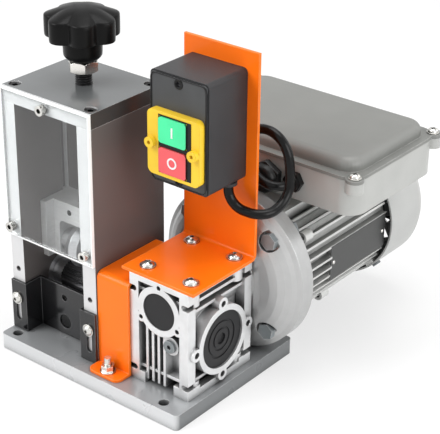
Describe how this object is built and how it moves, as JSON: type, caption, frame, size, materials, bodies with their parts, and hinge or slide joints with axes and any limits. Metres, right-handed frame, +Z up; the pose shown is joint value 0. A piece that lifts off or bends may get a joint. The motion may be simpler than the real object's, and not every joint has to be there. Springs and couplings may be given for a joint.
{
  "type": "electric wire stripper",
  "caption": "Bench cable stripper: a worm gearmotor turns a toothed feed roller under a round blade, whose height a star knob sets in a steel tower with a clear front shield.",
  "frame": {"origin": "on the underside of the base plate, under the plate's middle", "axes": "+X to the gearbox side (right from the front), +Y to the motor at the back, +Z up"},
  "size_m": [0.2575, 0.314, 0.3003],
  "materials": {
    "painted_steel": "smooth grey enamel",
    "clear_acrylic": "clear polished sheet",
    "black_sheet": "gloss black coating",
    "zinc_steel": "bright zinc plating",
    "bare_steel": "ground",
    "blackened_steel": "black oxide",
    "black_plastic": "moulded, satin gloss",
    "nickel_steel": "nickel plating",
    "cast_aluminium": "blasted casting",
    "black_rubber": "matt",
    "bronze": "machined",
    "motor_cast": "grey lacquer on a casting",
    "core_steel": "laminated steel",
    "cowl_sheet": "light grey enamel",
    "box_plastic": "grey moulding",
    "lid_plastic": "grey moulding",
    "dark_plastic": "charcoal moulding",
    "cover_plastic": "grey moulding",
    "yellow_plastic": "moulded",
    "green_plastic": "moulded",
    "red_plastic": "moulded",
    "orange_sheet": "gloss enamel",
    "plate_foil": "satin anodised"
  },
  "bodies": {
    "frame": {"base_plate": "painted_steel", "left_wall": "painted_steel", "right_wall": "painted_steel", "top_plate": "painted_steel", "frame_screws": "blackened_steel", "front_shield": "clear_acrylic", "shield_screws": "zinc_steel", "guide_screws": "zinc_steel", "wall_bearings": "bare_steel", "gear_housing": "cast_aluminium", "output_seals": "black_rubber", "gear_bearings": "bare_steel", "worm_cap": "black_rubber", "oil_plug": "zinc_steel", "motor_adapter": "motor_cast", "motor_flange": "motor_cast", "flange_bolts": "zinc_steel", "motor_housing": "motor_cast", "name_plate": "plate_foil", "stator_core": "core_steel", "motor_bearings": "bare_steel", "rear_shield": "motor_cast", "fan_cowl": "cowl_sheet", "cowl_screws": "zinc_steel", "terminal_box": "box_plastic", "terminal_lid": "lid_plastic", "lid_screws": "zinc_steel", "run_capacitor": "dark_plastic", "terminal_block": "dark_plastic", "box_gland": "dark_plastic", "coupling_guard": "orange_sheet", "guard_bolt": "zinc_steel", "switch_bracket": "orange_sheet", "bracket_screws": "zinc_steel", "switch_box": "dark_plastic", "switch_cover": "cover_plastic", "cover_screws": "dark_plastic", "button_frame": "yellow_plastic", "contact_block": "dark_plastic", "switch_lead": "black_rubber"},
    "carriage": {"carriage_yoke": "bare_steel", "yoke_set_screws": "blackened_steel", "blade_axle": "bare_steel", "blade_spacers": "bare_steel"},
    "blade": {"round_blade": "bare_steel"},
    "screw": {"adjusting_screw": "blackened_steel", "star_knob": "black_plastic"},
    "nut": {"lock_nut": "nickel_steel"},
    "feed": {"feed_roller": "blackened_steel", "drive_shaft": "bare_steel", "spacer_sleeves": "bare_steel", "wheel_hub": "bare_steel", "worm_wheel": "bronze"},
    "rotor": {"worm_shaft": "bare_steel", "rotor_core": "core_steel", "motor_shaft": "bare_steel", "cooling_fan": "dark_plastic"},
    "guide": {"guide_plate": "black_sheet"},
    "start": {"start_button": "green_plastic"},
    "stop": {"stop_button": "red_plastic"}
  },
  "joints": [
    {"name": "depth_slide", "type": "slide", "parent": "frame", "child": "carriage", "axis": [0, 0, 1], "range_m": [-0.0015, 0.02]},
    {"name": "knob_turn", "type": "hinge", "parent": "carriage", "child": "screw", "pos_m": [-0.05, -0.0145, 0.23], "axis": [0, 0, 1], "range_deg": [-272, 3602]},
    {"name": "nut_slide", "type": "slide", "parent": "screw", "child": "nut", "axis": [0, 0, 1], "range_m": [-0.0092, 0]},
    {"name": "blade_spin", "type": "hinge", "parent": "carriage", "child": "blade", "pos_m": [-0.054, -0.0145, 0.0895], "axis": [1, 0, 0], "continuous": true},
    {"name": "rotor_spin", "type": "hinge", "parent": "frame", "child": "rotor", "pos_m": [0.0615, 0.06, 0.085], "axis": [0, 1, 0], "continuous": true},
    {"name": "feed_spin", "type": "hinge", "parent": "frame", "child": "feed", "pos_m": [-0.054, -0.0145, 0.0545], "axis": [1, 0, 0], "continuous": true},
    {"name": "guide_height", "type": "slide", "parent": "frame", "child": "guide", "axis": [0, 0, 1], "range_m": [0, 0.018]},
    {"name": "start_press", "type": "slide", "parent": "frame", "child": "start", "axis": [0, 1, 0], "range_m": [0, 0.003], "stiffness_N_per_m": 400},
    {"name": "stop_press", "type": "slide", "parent": "frame", "child": "stop", "axis": [0, 1, 0], "range_m": [0, 0.003], "stiffness_N_per_m": 400}
  ],
  "couplings": [
    {"joint": "knob_turn", "follows": "depth_slide", "rad_per_m": 3141.6},
    {"joint": "feed_spin", "follows": "rotor_spin", "ratio": -0.033333}
  ]
}
